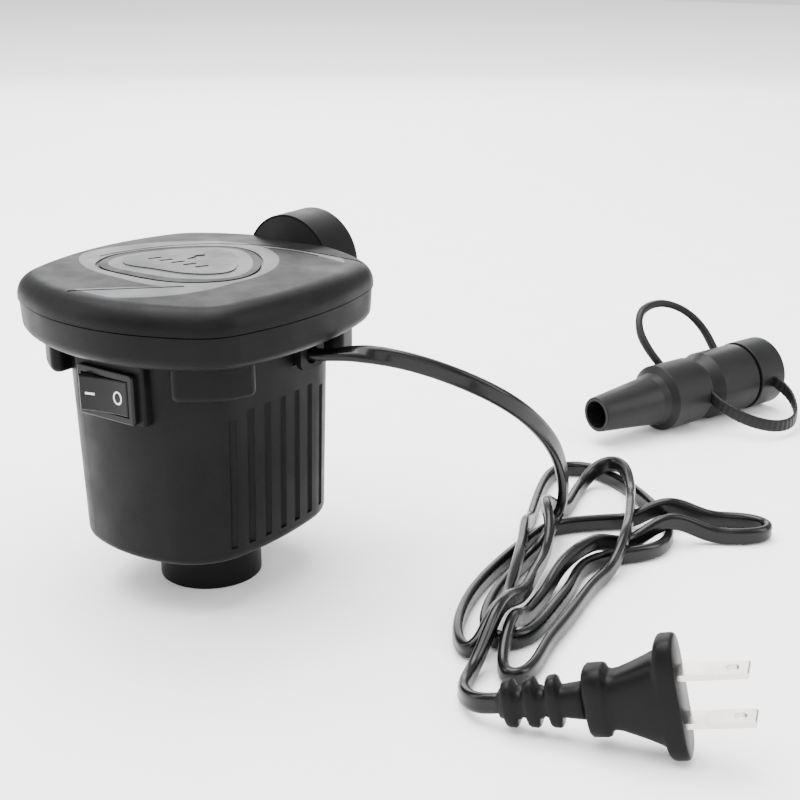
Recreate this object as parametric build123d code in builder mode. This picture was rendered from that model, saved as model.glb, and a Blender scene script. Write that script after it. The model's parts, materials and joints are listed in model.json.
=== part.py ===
from build123d import *
from math import asin, atan2, cos, degrees, hypot, pi, radians, sin, tan
import os

# Electric air mattress pump. Millimetres, +Z up. The origin is the centre of the intake
# port's end face, which the pump stands on. -Y is the switch side, +Y the outlet side.

os.makedirs("parts", exist_ok=True)

# ---------------------------------------------------------------- driving dimensions
WALL = 2.2
PORT_R = 15.5
PORT_BORE_R = 13.9
PORT_BORE_DEPTH = 12.5
GRILLE_R = 12.6
PORT_LENGTH = 17.0
BODY_TOP = 78.5
RIM_FLOOR = BODY_TOP + 2.0
SEAM = 88.5
SEAM_GAP = 0.4
LID_TOP = 97.5
CROWN_R = 667.0
TRIM_DEPTH = 0.8
GROOVE_WIDTH, GROOVE_DEPTH = 0.9, 0.6
LID_ROLL = 6.0

# outlines: half width, half depth, corner x, corner y, corner radius
BODY_FOOT = (29.7, 35.0, 26.5, 27.0, 20.0)
BODY_HEAD = (31.2, 36.5, 28.0, 28.5, 20.0)
RIM_FOOT = (44.5, 46.5, 38.2, 33.8, 17.0)
RIM_HEAD = (45.0, 47.0, 38.7, 34.3, 17.0)
LID_OUTLINE = (45.3, 47.3, 39.0, 34.6, 17.0)

FLUTES = 7
FLUTE_PITCH = 6.6
FLUTE_R = 1.4
FLUTE_DEPTH = 0.9
FLUTE_LOW, FLUTE_HIGH = 21.0, 62.0

OUTLET_R = 16.3
OUTLET_Z = 87.7
OUTLET_NEAR, OUTLET_END = 41.0, 56.0
OUTLET_DOME = 3.8
OUTLET_SHOULDER = 15.6

SCREW_X, SCREW_Y = 30.6, 27.6
SCREW_R = 1.3
SCREW_HEAD_R = 2.4
POST_R = 3.0
BOSS_LOW = 68.5

SWITCH_Z = 67.4
SWITCH_FACE = -37.4
ROCKER_TILT = 9.0

PLATE_THICK = 1.6
PLATE_TOP = RIM_FLOOR + PLATE_THICK
EYE_R = 17.0

BRACKET_POST_AT = 24.4
BRACKET_LOW = 58.0
SCREW_SEAT = 74.5
CLAMP_TOP = 70.3
CLAMP_SCREWS = [(24.0, 3.2), (24.0, 14.8)]

SCROLL_R, SCROLL_GROWTH = 35.0, 2.2
SCROLL_START, SCROLL_END = 122.0, 402.0
IMPELLER_BLADES = 9

SHAFT_R = 1.6
BUSH_R = 3.5
CORE_R = 12.4
CORE_LOW, CORE_HIGH = 36.6, 60.0
COMMUTATOR_R = 4.4
ROCKER_PIVOT = -36.5
CAN_R = 17.9
CAN_LOW, CAN_HIGH = 26.0, 70.0
IMPELLER_R = 33.0
IMPELLER_LOW, IMPELLER_HIGH = 84.8, 92.2

# flat twin cord, drawn round at its full width
CORD_R = 2.7
CORD_EXIT = (31.4, 9.0, 73.0)
HANK_TOP = 14.0
CORD_LEAD = [(21.8, 9, 73), (36.5, 9, 73), (46, 17.5, 73.3), (58, 25, 71), (70, 33, 66), (79, 44, 58),
             (82, 57, 47.5), (82, 69, 36), (79, 82, 26), (79, 82, HANK_TOP)]
HANK_OUTLINE = [(46, 120), (50, 134), (68, 141), (84, 135), (106, 121), (128, 134), (139, 131),
                (146, 118), (142, 103), (118, 91), (110, 62), (113, 25), (119, -6), (112, -15), (98, -15),
                (84, -4), (73, 22), (71, 55), (65, 74), (53, 99)]
CORD_TAIL = [(104.5, -15, 2.9), (104.2, -23, 2.9), (108.6, -29.3, 3.4), (114.7, -28.6, 5.16),
             (121.2, -26.6, 6.7)]

# plug: where its strain relief starts, and which way it points
PLUG_START = (121.2, -26.6, 6.7)
PLUG_YAW, PLUG_PITCH = 17.2, 12.7
BLADE_GAP, BLADE_WIDE, BLADE_THICK, BLADE_LONG = 12.7, 6.35, 1.5, 16.5

# nozzle adapters, nested in one another and lying on the large one's rim
ADAPTER_TIP = (48.4, 163.2, 12.42)
ADAPTER_YAW, ADAPTER_RISE = 70.0, 0.87
TETHER_LEAN = 52.0


# ---------------------------------------------------------------- shared shapes
def bowed(half_x, half_y, corner_x, corner_y, radius):
    """Outline of a rounded rectangle whose four sides bow outwards."""
    with BuildSketch() as outline:
        with BuildLine():
            ThreePointArc((-corner_x, -corner_y), (0, -half_y), (corner_x, -corner_y))
            ThreePointArc((corner_x, -corner_y), (half_x, 0), (corner_x, corner_y))
            ThreePointArc((corner_x, corner_y), (0, half_y), (-corner_x, corner_y))
            ThreePointArc((-corner_x, corner_y), (-half_x, 0), (-corner_x, -corner_y))
        make_face()
        fillet(outline.vertices(), radius)
    return outline.sketch


def inset(dims, amount):
    """The same outline drawn a wall's thickness further in."""
    half_x, half_y, corner_x, corner_y, radius = dims
    return (half_x - amount, half_y - amount, corner_x - amount, corner_y - amount, radius - amount)


def drafted(foot, head, low, high):
    """Solid between two bowed outlines, one above the other."""
    with BuildPart() as block:
        with BuildSketch(Plane.XY.offset(low)):
            add(bowed(*foot))
        with BuildSketch(Plane.XY.offset(high)):
            add(bowed(*head))
        loft(ruled=True)
    return block.part


def body_outline_at(z):
    """The tapered body's outline at height z."""
    t = (z - PORT_LENGTH) / (BODY_TOP - PORT_LENGTH)
    return tuple(a + (b - a) * t for a, b in zip(BODY_FOOT, BODY_HEAD))


def crown(top):
    """Wide block whose upper face is the cover's shallow dome, with its summit at top."""
    reach = 62.0
    drop = CROWN_R - (CROWN_R**2 - reach**2) ** 0.5
    base = SEAM - 12.0
    with BuildPart() as block:
        with BuildSketch(Plane.XZ):
            with BuildLine():
                Polyline((0, top), (0, base), (reach, base), (reach, top - drop))
                RadiusArc((reach, top - drop), (0, top), -CROWN_R)
            make_face()
        revolve(axis=Axis.Z)
    return block.part


def ring(outer_r, inner_r, low, high):
    """Plain washer or sleeve about the pump's axis."""
    with BuildPart() as sleeve:
        with BuildSketch(Plane.XY.offset(low)):
            Circle(outer_r)
            Circle(inner_r, mode=Mode.SUBTRACT)
        extrude(amount=high - low)
    return sleeve.part


def corners(x, y):
    """The four places mirrored about both midplanes."""
    return [(x, y), (-x, y), (-x, -y), (x, -y)]


def rod(start, end, radius):
    """Straight round bar between two points."""
    a, b = Vector(*start), Vector(*end)
    with BuildPart() as bar:
        with BuildSketch(Plane(origin=a, z_dir=b - a)):
            Circle(radius)
        extrude(amount=(b - a).length)
    return bar.part


def corner_radii(points):
    """Largest arc that each corner's two runs allow."""
    radii = []
    for a, b, c in zip(points[:-2], points[1:-1], points[2:]):
        run_in, run_out = Vector(*b) - Vector(*a), Vector(*c) - Vector(*b)
        half_turn = radians(run_in.get_angle(run_out)) / 2
        radii.append(0.45 * min(run_in.length, run_out.length) / tan(half_turn))
    return radii


def cord_tube(points, radius, name):
    """Round cord along straight runs joined by tangent arcs."""
    radii = corner_radii(points)
    print(name, "radii", [round(r, 1) for r in radii])
    with BuildPart() as tube:
        with BuildLine() as route:
            FilletPolyline(*points, radius=radii)
        with BuildSketch(Plane(origin=points[0], z_dir=Vector(*points[1]) - Vector(*points[0]))):
            Circle(radius)
        sweep(path=route.wire())
    print(name, "volume", round(tube.part.volume), "section x length",
          round(pi * radius**2 * route.wire().length))
    return tube.part


def heading(yaw, pitch):
    """Unit vector from a compass turn about +Z and a rise above the floor, in degrees."""
    flat = cos(radians(pitch))
    return Vector(flat * cos(radians(yaw)), flat * sin(radians(yaw)), sin(radians(pitch)))


def save(piece, name):
    """Label one finished piece and write its STEP file."""
    piece.label = name
    export_step(piece, f"parts/{name}.step")


# ---------------------------------------------------------------- outlet port
outlet_axis = Axis((0, 0, OUTLET_Z), (0, 1, 0))
# sketches on this plane read distance along the port, then distance from its axis
outlet_section = Plane(origin=(0, 0, OUTLET_Z), x_dir=(0, 1, 0), z_dir=(1, 0, 0))

with BuildPart() as outlet_envelope:
    with BuildSketch(outlet_section):
        with BuildLine():
            domed = ThreePointArc((OUTLET_NEAR - OUTLET_DOME, 0),
                                  (OUTLET_NEAR - 0.73 * OUTLET_DOME, OUTLET_SHOULDER / 2),
                                  (OUTLET_NEAR, OUTLET_SHOULDER))
            Polyline(domed @ 1, (OUTLET_NEAR, OUTLET_R), (OUTLET_END, OUTLET_R), (OUTLET_END, 0),
                     domed @ 0)
        make_face()
    revolve(axis=outlet_axis)
    rim_edges = outlet_envelope.edges().filter_by(GeomType.CIRCLE).sort_by(Edge.radius)[-2:]
    fillet(rim_edges, 0.5)

with BuildPart() as outlet_port:
    add(outlet_envelope.part)
    with BuildSketch(Plane(origin=(0, OUTLET_NEAR + 2, OUTLET_Z), z_dir=(0, 1, 0))):
        Circle(PORT_BORE_R)
    extrude(amount=20, mode=Mode.SUBTRACT)
    # window into the fan chamber
    with Locations((0, OUTLET_NEAR, (PLATE_TOP + 94.4) / 2)):
        Box(25, 12, 94.4 - PLATE_TOP, mode=Mode.SUBTRACT)
save(outlet_port.part, "outlet_port")

# ---------------------------------------------------------------- main housing
# rim band around the fan chamber
with BuildPart() as rim:
    add(drafted(RIM_FOOT, RIM_HEAD, BODY_TOP, SEAM))
    fillet(rim.faces().sort_by(Axis.Z)[0].edges(), 4.0)

# corner bosses for the cover screws, cut from the rim's own outline
with BuildPart() as bosses:
    with BuildSketch(Plane.XY.offset(BOSS_LOW)):
        add(bowed(*inset(RIM_FOOT, 4.2)))
        Rectangle(2 * 21.0, 100, mode=Mode.SUBTRACT)
        Rectangle(100, 2 * 17.5, mode=Mode.SUBTRACT)
    extrude(amount=BODY_TOP + 0.6 - BOSS_LOW)
    fillet(bosses.edges().filter_by(Axis.Z), 2.5)
    fillet(bosses.faces().group_by(Axis.Z)[0].edges(), 2.0)

# cutters for the vertical flutes down both flat sides
with BuildPart() as flutes:
    for side in (1, -1):
        for k in range(FLUTES):
            y = (k - (FLUTES - 1) / 2) * FLUTE_PITCH
            shorter = 2.0 if k in (0, FLUTES - 1) else 0.0
            ends = []
            for z in (FLUTE_LOW, FLUTE_HIGH - shorter):
                half_x, half_y, corner_x, corner_y, radius = body_outline_at(z)
                bow_r = ((half_x - corner_x) ** 2 + corner_y**2) / (2 * (half_x - corner_x))
                surface = half_x - bow_r + (bow_r**2 - y**2) ** 0.5
                ends.append((side * (surface + FLUTE_R - FLUTE_DEPTH), y, z))
            add(rod(ends[0], ends[1], FLUTE_R))

with BuildPart() as main_housing:
    add(drafted(BODY_FOOT, BODY_HEAD, PORT_LENGTH, BODY_TOP + 1))
    fillet(main_housing.faces().sort_by(Axis.Z)[0].edges(), 2.5)
    add(rim.part)
    add(bosses.part)
    # intake port
    with BuildSketch(Plane.XY):
        Circle(PORT_R)
    extrude(amount=PORT_LENGTH + 1)
    # raised frame round the switch
    with BuildSketch(Plane.XY.offset(60.0)):
        with Locations((0, -33.0)):
            RectangleRounded(26.4, 8.6, 0.8)
    extrude(amount=BODY_TOP + 0.6 - 60.0)
    # hollow inside
    add(drafted(inset(BODY_FOOT, WALL), inset(BODY_HEAD, WALL), PORT_LENGTH + WALL, BODY_TOP + 1),
        mode=Mode.SUBTRACT)
    with BuildSketch(Plane.XY.offset(BODY_TOP)):
        add(bowed(*inset(BODY_HEAD, WALL)))
    extrude(amount=4, mode=Mode.SUBTRACT)
    add(drafted(inset(RIM_FOOT, WALL), inset(RIM_HEAD, WALL), RIM_FLOOR, SEAM + 0.01),
        mode=Mode.SUBTRACT)
    with BuildSketch(Plane.XY.offset(-1)):
        Circle(PORT_BORE_R)
    extrude(amount=PORT_BORE_DEPTH + 1, mode=Mode.SUBTRACT)
    with BuildSketch(Plane.XY):
        Circle(GRILLE_R)
    extrude(amount=PORT_LENGTH + WALL + 1, mode=Mode.SUBTRACT)
    # switch opening, cord exit and the seat of the outlet port
    with Locations((0, -34.0, SWITCH_Z)):
        Box(19.4, 12, 13.0, mode=Mode.SUBTRACT)
    with Locations((30.0, CORD_EXIT[1], CORD_EXIT[2])):
        Box(12, 8.4, 6.2, mode=Mode.SUBTRACT)
    add(outlet_envelope.part, mode=Mode.SUBTRACT)
    # cover screws pass up through the bosses, heads recessed from below
    with Locations(*[(x, y, BOSS_LOW - 1) for x, y in corners(SCREW_X, SCREW_Y)]):
        Cylinder(SCREW_R + 0.25, 20, align=(Align.CENTER, Align.CENTER, Align.MIN), mode=Mode.SUBTRACT)
        Cylinder(SCREW_HEAD_R + 0.2, SCREW_SEAT + 1 - BOSS_LOW, align=(Align.CENTER, Align.CENTER, Align.MIN),
                 mode=Mode.SUBTRACT)
    add(flutes.part, mode=Mode.SUBTRACT)
save(main_housing.part, "main_housing")

# guard across the intake port
with BuildPart() as intake_grille:
    add(ring(GRILLE_R, GRILLE_R - 1.4, PORT_BORE_DEPTH, PORT_BORE_DEPTH + 2.5))
    with BuildSketch(Plane.XY.offset(PORT_BORE_DEPTH)):
        Circle(3.0)
        with PolarLocations(7.0, 6):
            Rectangle(9.4, 1.3)
    extrude(amount=2.0)
save(intake_grille.part, "intake_grille")

# ---------------------------------------------------------------- top cover
def closed_curve(points):
    """Face inside one smooth closed curve."""
    with BuildSketch() as shape:
        with BuildLine():
            Spline(*points, periodic=True)
        make_face()
    return shape.sketch


def emblem_outline(spread):
    """The emblem's outline, spread out or drawn in about its middle."""
    points = [(-26.6, -5.5), (-17.0, 11.4), (-2.0, 20.4), (14.2, 12.0), (23.0, -8.5),
              (13.5, -20.0), (-6.0, -22.6), (-22.8, -17.4)]
    return closed_curve([(x * spread, y * spread) for x, y in points])


EMBLEM = emblem_outline(1.0)
EMBLEM_RING = closed_curve([(-23.4, -7.0), (-14.6, 10.2), (-2.4, 18.2), (11.8, 10.6), (20.4, -8.0),
                            (11.8, -16.8), (-5.6, -19.2), (-20.4, -15.4)])
EMBLEM_PANEL = closed_curve([(-20.2, -7.6), (-11.0, 8.8), (-3.0, 14.4), (8.4, 7.8), (16.2, -6.6),
                             (9.0, -12.8), (-4.0, -14.4), (-17.0, -13.0)])

# the bright band: a ring about the emblem with one tail to the front, one to the outlet
with BuildSketch() as band:
    add(closed_curve([(-37.8, -5.0), (-27.0, 15.0), (-4.0, 27.0), (14.5, 19.0), (25.4, -7.0),
                      (18.0, -23.0), (-6.0, -26.0), (-29.5, -18.0)]))
    with BuildLine():
        Spline((24.6, -12.0), (20.5, -28.0), (5.5, -41.0))
        Line((5.5, -41.0), (-9.0, -40.6))
        Line((-9.0, -40.6), (16.2, -22.6))
        Line((16.2, -22.6), (24.6, -12.0))
    make_face()
    with BuildLine():
        Spline((-4.0, 26.8), (9.0, 29.1), (28.0, 31.9), (38.0, 32.0))
        Line((38.0, 32.0), (40.5, 25.0))
        Spline((40.5, 25.0), (22.5, 27.9), (5.2, 26.4))
        Line((5.2, 26.4), (-4.0, 26.8))
    make_face()
    add(bowed(*inset(LID_OUTLINE, LID_ROLL + 0.6)), mode=Mode.INTERSECT)
    add(EMBLEM, mode=Mode.SUBTRACT)

with BuildSketch() as emblem_border:
    add(EMBLEM_RING)
    add(EMBLEM_PANEL, mode=Mode.SUBTRACT)

# grooves along the band's edges
with BuildSketch() as groove_lines:
    with BuildLine():
        Spline((-29.5, -10.0), (-25.1, 4.2), (-14.3, 19.0), (0.4, 27.5), (17.3, 30.6), (37.0, 32.4))
    trace(line_width=GROOVE_WIDTH)
    with BuildLine():
        Spline((5.2, 26.5), (13.0, 28.0), (22.5, 27.9))
    trace(line_width=GROOVE_WIDTH)
    with BuildLine():
        Spline((-8.4, -42.0), (3.1, -33.7), (16.2, -22.6))
    trace(line_width=GROOVE_WIDTH)


def crown_layer(face, top, bottom):
    """Solid over a face, between two heights measured at the dome's summit."""
    with BuildPart() as layer:
        with BuildSketch(Plane.XY.offset(SEAM)):
            add(face)
        extrude(amount=14)
        add(crown(top), mode=Mode.INTERSECT)
        add(crown(bottom), mode=Mode.SUBTRACT)
    return layer.part


# and the one round the emblem
with BuildSketch() as emblem_groove:
    add(emblem_outline(1.02))
    add(emblem_outline(0.98), mode=Mode.SUBTRACT)

with BuildPart() as grooves:
    add(crown_layer(groove_lines.sketch, LID_TOP + 2, LID_TOP - GROOVE_DEPTH))
    add(crown_layer(emblem_groove.sketch, LID_TOP + 2, LID_TOP - GROOVE_DEPTH))

with BuildPart() as lid_blank:
    with BuildSketch(Plane.XY.offset(SEAM + SEAM_GAP)):
        add(bowed(*LID_OUTLINE))
    extrude(amount=14)
    add(crown(LID_TOP), mode=Mode.INTERSECT)
    fillet(lid_blank.faces().sort_by(Axis.Z)[-1].edges(), LID_ROLL)

with BuildPart() as lid_hollow:
    with BuildSketch(Plane.XY.offset(SEAM + SEAM_GAP - 1)):
        add(bowed(*inset(LID_OUTLINE, WALL)))
    extrude(amount=14)
    add(crown(LID_TOP - WALL), mode=Mode.INTERSECT)
    fillet(lid_hollow.faces().sort_by(Axis.Z)[-1].edges(), LID_ROLL - 2)

with BuildPart() as screw_posts:
    with BuildSketch(Plane.XY.offset(PLATE_TOP)):
        with Locations(*corners(SCREW_X, SCREW_Y)):
            Circle(POST_R)
    extrude(amount=20)
    add(crown(LID_TOP - WALL / 2), mode=Mode.INTERSECT)
    with Locations(*[(x, y, PLATE_TOP) for x, y in corners(SCREW_X, SCREW_Y)]):
        Cylinder(SCREW_R, 8, align=(Align.CENTER, Align.CENTER, Align.MIN), mode=Mode.SUBTRACT)

# lip that nests inside the rim
with BuildPart() as cover_lip:
    with BuildSketch(Plane.XY.offset(SEAM - 2)):
        add(bowed(*inset(RIM_HEAD, WALL + 0.25)))
        add(bowed(*inset(RIM_HEAD, WALL + 1.45)), mode=Mode.SUBTRACT)
    extrude(amount=2 + SEAM_GAP)
    with BuildSketch(Plane.XY.offset(SEAM + SEAM_GAP)):
        add(bowed(*inset(LID_OUTLINE, WALL - 0.2)))
        add(bowed(*inset(RIM_HEAD, WALL + 1.45)), mode=Mode.SUBTRACT)
    extrude(amount=1.2)

with BuildPart() as top_cover:
    add(lid_blank.part)
    add(lid_hollow.part, mode=Mode.SUBTRACT)
    add(cover_lip.part)
    add(screw_posts.part)
    add(outlet_envelope.part, mode=Mode.SUBTRACT)
    add(crown_layer(band.sketch, LID_TOP + 2, LID_TOP - TRIM_DEPTH), mode=Mode.SUBTRACT)
    add(crown_layer(EMBLEM_RING, LID_TOP + 2, LID_TOP - TRIM_DEPTH), mode=Mode.SUBTRACT)
    add(grooves.part, mode=Mode.SUBTRACT, clean=False)
save(top_cover.part, "top_cover")

# bright trim set into the cover
with BuildPart() as cover_trim:
    add(crown_layer(band.sketch, LID_TOP, LID_TOP - TRIM_DEPTH))
    add(grooves.part, mode=Mode.SUBTRACT, clean=False)
save(cover_trim.part, "cover_trim")

emblem_frame = crown_layer(emblem_border.sketch, LID_TOP, LID_TOP - TRIM_DEPTH)
save(emblem_frame, "emblem_frame")

# raised panel with an arrow towards the outlet over a row of slanted dashes
with BuildSketch() as panel_marks:
    with BuildLine():
        Polyline((-3.4, -0.8), (-3.4, 3.2), (-4.9, 3.2), (-2.6, 6.4), (-0.3, 3.2), (-1.8, 3.2),
                 (-1.8, -0.8), close=True)
    make_face()
    with Locations(*[(-11.8 + 4.6 * k, -5.2) for k in range(5)]):
        SlotOverall(4.2, 1.3, rotation=62)

with BuildPart() as emblem_panel:
    add(crown_layer(EMBLEM_PANEL, LID_TOP + 0.3, LID_TOP - TRIM_DEPTH))
    add(crown_layer(panel_marks.sketch, LID_TOP + 2, LID_TOP), mode=Mode.SUBTRACT)
save(emblem_panel.part, "emblem_panel")

# ---------------------------------------------------------------- fan chamber
with BuildPart() as fan_plate:
    with BuildSketch(Plane.XY.offset(RIM_FLOOR)):
        add(bowed(*inset(RIM_FOOT, WALL + 0.3)))
        Circle(EYE_R, mode=Mode.SUBTRACT)
        with Locations(*corners(SCREW_X, SCREW_Y)):
            Circle(SCREW_R + 0.25, mode=Mode.SUBTRACT)
        with PolarLocations(BRACKET_POST_AT, 4, start_angle=45):
            Circle(1.4, mode=Mode.SUBTRACT)
    extrude(amount=PLATE_THICK)
    # bosses that the cord clamp is screwed to
    with BuildSketch(Plane.XY.offset(CLAMP_TOP)):
        with Locations(*CLAMP_SCREWS):
            Circle(2.6)
    extrude(amount=RIM_FLOOR - CLAMP_TOP)
    with Locations(*[(x, y, CLAMP_TOP) for x, y in CLAMP_SCREWS]):
        Cylinder(1.0, 7, align=(Align.CENTER, Align.CENTER, Align.MIN), mode=Mode.SUBTRACT)
    add(outlet_envelope.part, mode=Mode.SUBTRACT)
save(fan_plate.part, "fan_plate")


def scroll_point(angle):
    """Point on the scroll, whose radius grows steadily from the tongue round to the outlet."""
    radius = SCROLL_R + SCROLL_GROWTH * (angle - SCROLL_START) / (SCROLL_END - SCROLL_START)
    return (radius * cos(radians(angle)), radius * sin(radians(angle)))


with BuildPart() as scroll_wall:
    with BuildSketch(Plane.XY.offset(PLATE_TOP)):
        with BuildLine():
            turns = [scroll_point(SCROLL_START + k * (SCROLL_END - SCROLL_START) / 9) for k in range(10)]
            Spline((-15.0, 36.6), *turns, (14.6, 36.4))
        trace(line_width=1.4)
    extrude(amount=93.8 - PLATE_TOP)
    add(outlet_envelope.part, mode=Mode.SUBTRACT)
save(scroll_wall.part, "scroll_wall")

# ---------------------------------------------------------------- impeller, on the motor shaft
with BuildPart() as impeller:
    add(ring(IMPELLER_R, SHAFT_R, IMPELLER_HIGH, IMPELLER_HIGH + 1.2))
    add(ring(4.8, SHAFT_R, IMPELLER_LOW, IMPELLER_HIGH + 1.8))
    with BuildSketch(Plane.XY.offset(IMPELLER_LOW)):
        for k in range(IMPELLER_BLADES):
            turn = 360 * k / IMPELLER_BLADES
            with BuildLine():
                ThreePointArc(*[(r * cos(radians(turn + a)), r * sin(radians(turn + a)))
                                for r, a in ((12.5, 0), (22.5, -16), (IMPELLER_R - 0.4, -42))])
            trace(line_width=1.2)
    extrude(amount=IMPELLER_HIGH - IMPELLER_LOW)
save(impeller.part, "impeller")

impeller_clip = ring(3.4, SHAFT_R, IMPELLER_HIGH + 1.8, IMPELLER_HIGH + 2.4)
save(impeller_clip, "impeller_clip")

# ---------------------------------------------------------------- motor
with BuildPart() as motor_can:
    add(ring(CAN_R, CAN_R - 1, CAN_LOW, CAN_HIGH))
    add(ring(CAN_R, BUSH_R, CAN_HIGH - 1.2, CAN_HIGH))
    add(ring(5.0, BUSH_R, CAN_HIGH, CAN_HIGH + 2.4))
    fillet(motor_can.edges().filter_by(GeomType.CIRCLE).group_by(Axis.Z)[-2].sort_by(Edge.radius)[-1], 0.8)
save(motor_can.part, "motor_can")

with BuildPart() as motor_end_cap:
    add(ring(CAN_R, BUSH_R, CAN_LOW - 2.6, CAN_LOW - 0.8))
    add(ring(CAN_R, CAN_R - 2.2, CAN_LOW - 2.6, CAN_LOW))
    add(ring(CAN_R - 1.05, CAN_R - 2.2, CAN_LOW, CAN_LOW + 2.5))
    add(ring(5.0, BUSH_R, CAN_LOW - 5, CAN_LOW - 2.6))
save(motor_end_cap.part, "motor_end_cap")

save(ring(BUSH_R, SHAFT_R + 0.06, CAN_HIGH - 1.6, CAN_HIGH + 2.6), "upper_bushing")
save(ring(BUSH_R, SHAFT_R + 0.06, CAN_LOW - 5, CAN_LOW - 0.8), "lower_bushing")

with BuildPart() as motor_shaft:
    with BuildSketch(Plane.XY.offset(CAN_LOW - 5.4)):
        Circle(SHAFT_R)
    extrude(amount=IMPELLER_HIGH + 2.6 - CAN_LOW + 5.4)
    chamfer(motor_shaft.edges(), 0.3)
save(motor_shaft.part, "motor_shaft")

with BuildPart() as armature_core:
    with BuildSketch(Plane.XY.offset(CORE_LOW)):
        Circle(4.6)
        with PolarLocations(7.6, 5):
            Rectangle(8.0, 3.8)
        with BuildSketch(mode=Mode.PRIVATE) as shoes:
            Circle(CORE_R)
            Circle(CORE_R - 2, mode=Mode.SUBTRACT)
            with PolarLocations(CORE_R, 5, start_angle=36):
                Rectangle(6, 2.2, mode=Mode.SUBTRACT)
        add(shoes.sketch)
        Circle(SHAFT_R, mode=Mode.SUBTRACT)
    extrude(amount=CORE_HIGH - CORE_LOW)
save(armature_core.part, "armature_core")

with BuildPart() as armature_windings:
    add(ring(CORE_R - 2, 4.6, CORE_LOW - 2.6, CORE_HIGH + 3.4))
    with BuildSketch(Plane.XY.offset(CORE_LOW)):
        with PolarLocations(7.6, 5):
            Rectangle(8.0, 3.8)
    extrude(amount=CORE_HIGH - CORE_LOW, mode=Mode.SUBTRACT)
    fillet(armature_windings.edges().filter_by(GeomType.CIRCLE).group_by(Axis.Z)[-1], 0.8)
save(armature_windings.part, "armature_windings")

with BuildPart() as commutator:
    add(ring(COMMUTATOR_R, SHAFT_R, CAN_LOW + 0.6, CAN_LOW + 7.0))
    with BuildSketch(Plane.XY.offset(CAN_LOW + 0.6)):
        with PolarLocations(COMMUTATOR_R, 5, start_angle=36):
            Rectangle(2.4, 0.5)
    extrude(amount=5.4, mode=Mode.SUBTRACT)
save(commutator.part, "commutator")

with BuildPart() as field_magnets:
    with BuildSketch(Plane.XY.offset(CORE_LOW - 3)):
        Circle(CAN_R - 1)
        Circle(CORE_R + 0.7, mode=Mode.SUBTRACT)
        Rectangle(14, 60, mode=Mode.SUBTRACT)
    extrude(amount=CORE_HIGH - CORE_LOW + 6)
save(field_magnets.part, "field_magnets")

with BuildPart() as carbon_brushes:
    with Locations(*[(side * (COMMUTATOR_R + 0.05 + 1.8), 0, CAN_LOW + 4) for side in (1, -1)]):
        Box(3.6, 4, 4)
save(carbon_brushes.part, "carbon_brushes")

with BuildPart() as brush_arms:
    with Locations(*[(side * (COMMUTATOR_R + 0.05 + 3.6 + 0.25), 0, CAN_LOW - 0.8) for side in (1, -1)]):
        Box(0.5, 4, 7.4, align=(Align.CENTER, Align.CENTER, Align.MIN))
save(brush_arms.part, "brush_arms")

# rubber sleeve and bracket that hang the motor from the fan plate
save(ring(CAN_R + 1.2, CAN_R, BRACKET_LOW, CAN_HIGH), "motor_sleeve")

with BuildPart() as motor_bracket:
    add(ring(CAN_R + 3.4, CAN_R + 1.2, BRACKET_LOW, CAN_HIGH + 1.5))
    add(ring(CAN_R + 1.2, CAN_R - 1.5, CAN_HIGH, CAN_HIGH + 1.5))
    with BuildSketch(Plane.XY.offset(BRACKET_LOW)):
        with PolarLocations(CAN_R + 4.6, 4, start_angle=45):
            Rectangle(5.4, 3.0)
    extrude(amount=CAN_HIGH + 1.5 - BRACKET_LOW)
    with BuildSketch(Plane.XY.offset(BRACKET_LOW)):
        with PolarLocations(BRACKET_POST_AT, 4, start_angle=45):
            Circle(3.2)
    extrude(amount=RIM_FLOOR - BRACKET_LOW)
    with PolarLocations(BRACKET_POST_AT, 4, start_angle=45):
        with Locations((0, 0, RIM_FLOOR)):
            Cylinder(1.2, 10, align=(Align.CENTER, Align.CENTER, Align.MAX), mode=Mode.SUBTRACT)
save(motor_bracket.part, "motor_bracket")


def screw(at, head_r, head_thick, shank_r, length, up):
    """Pan head screw; the shank runs up or down from the head's flat side."""
    x, y, z = at
    way = 1 if up else -1
    with BuildPart() as one:
        with Locations((x, y, z)):
            Cylinder(shank_r, length, align=(Align.CENTER, Align.CENTER, Align.MIN if up else Align.MAX))
            Cylinder(head_r, head_thick, align=(Align.CENTER, Align.CENTER, Align.MAX if up else Align.MIN))
        crown_edge = one.edges().filter_by(GeomType.CIRCLE).sort_by(Axis.Z)[0 if up else -1]
        fillet(crown_edge, 0.45 * head_thick)
        with Locations((x, y, z - way * head_thick)):
            for turn in (0, 90):
                with Locations(Rotation(0, 0, turn)):
                    Box(1.3 * head_r, 0.5, head_thick, mode=Mode.SUBTRACT)
    return one.part


def screw_set(places, **sizes):
    """Several identical screws as one group of solids."""
    with BuildPart() as group:
        for at in places:
            add(screw(at, **sizes))
    return group.part


save(screw_set([(x, y, SCREW_SEAT) for x, y in corners(SCREW_X, SCREW_Y)],
               head_r=SCREW_HEAD_R, head_thick=2.0, shank_r=SCREW_R, length=14.0, up=True), "cover_screws")
post_xy = BRACKET_POST_AT * cos(radians(45))
save(screw_set([(x, y, PLATE_TOP) for x, y in corners(post_xy, post_xy)],
               head_r=2.6, head_thick=1.4, shank_r=1.2, length=10.0, up=False), "bracket_screws")

# ---------------------------------------------------------------- circuit board
BOARD_Y = 28.5
with BuildPart() as circuit_board:
    with Locations((0, BOARD_Y + 0.8, 44)):
        Box(26, 1.6, 28)
    with Locations(*[(x, BOARD_Y + 0.8, z) for x in (-11, 11) for z in (32, 56)]):
        Cylinder(0.9, 4, rotation=(90, 0, 0), mode=Mode.SUBTRACT)
save(circuit_board.part, "circuit_board")

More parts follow.
